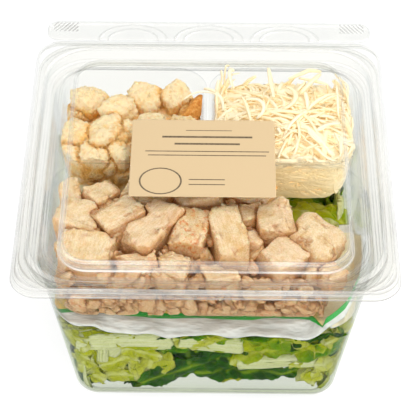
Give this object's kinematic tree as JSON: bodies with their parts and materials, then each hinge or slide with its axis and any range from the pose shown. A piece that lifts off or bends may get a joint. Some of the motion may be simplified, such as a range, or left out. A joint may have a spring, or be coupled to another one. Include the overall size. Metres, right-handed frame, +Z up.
{
  "type": "chicken caesar salad",
  "caption": "Clear square clamshell of salad: lettuce in the tub, a dressing sachet, and a hanging tray with chicken, croutons and shredded parmesan.",
  "frame": {"origin": "middle of the tub's flat underside, on the surface that it stands on", "axes": "+Z up through the lid, +Y towards the hinge and the tear strip, +X to the right seen from the front"},
  "size_m": [0.19, 0.207, 0.1111],
  "materials": {
    "clear_plastic": "clear, thin and glossy",
    "label_paper": "satin, tan, with dark printed bars",
    "sachet_film": "satin white film with a green band and a yellow middle",
    "lettuce": "moist green leaves with pale ribs",
    "chicken": "moist, fibrous, pale tan",
    "croutons": "dry, rough, toasted",
    "parmesan": "matt cream shreds"
  },
  "bodies": {
    "root": {"tub": "clear_plastic", "lid": "clear_plastic", "tear_strip": "clear_plastic", "tray": "clear_plastic", "label": "label_paper", "sachet": "sachet_film", "lettuce": "lettuce", "chicken_shreds": "chicken", "chicken_chunk_1": "chicken", "chicken_chunk_2": "chicken", "chicken_chunk_3": "chicken", "chicken_chunk_4": "chicken", "chicken_chunk_5": "chicken", "chicken_chunk_6": "chicken", "chicken_chunk_7": "chicken", "chicken_chunk_8": "chicken", "chicken_chunk_9": "chicken", "chicken_chunk_10": "chicken", "chicken_chunk_11": "chicken", "chicken_chunk_12": "chicken", "chicken_chunk_13": "chicken", "chicken_chunk_14": "chicken", "chicken_chunk_15": "chicken", "chicken_chunk_16": "chicken", "chicken_chunk_17": "chicken", "chicken_chunk_18": "chicken", "chicken_chunk_19": "chicken", "chicken_chunk_20": "chicken", "chicken_chunk_21": "chicken", "croutons": "croutons", "parmesan": "parmesan"}
  },
  "joints": []
}
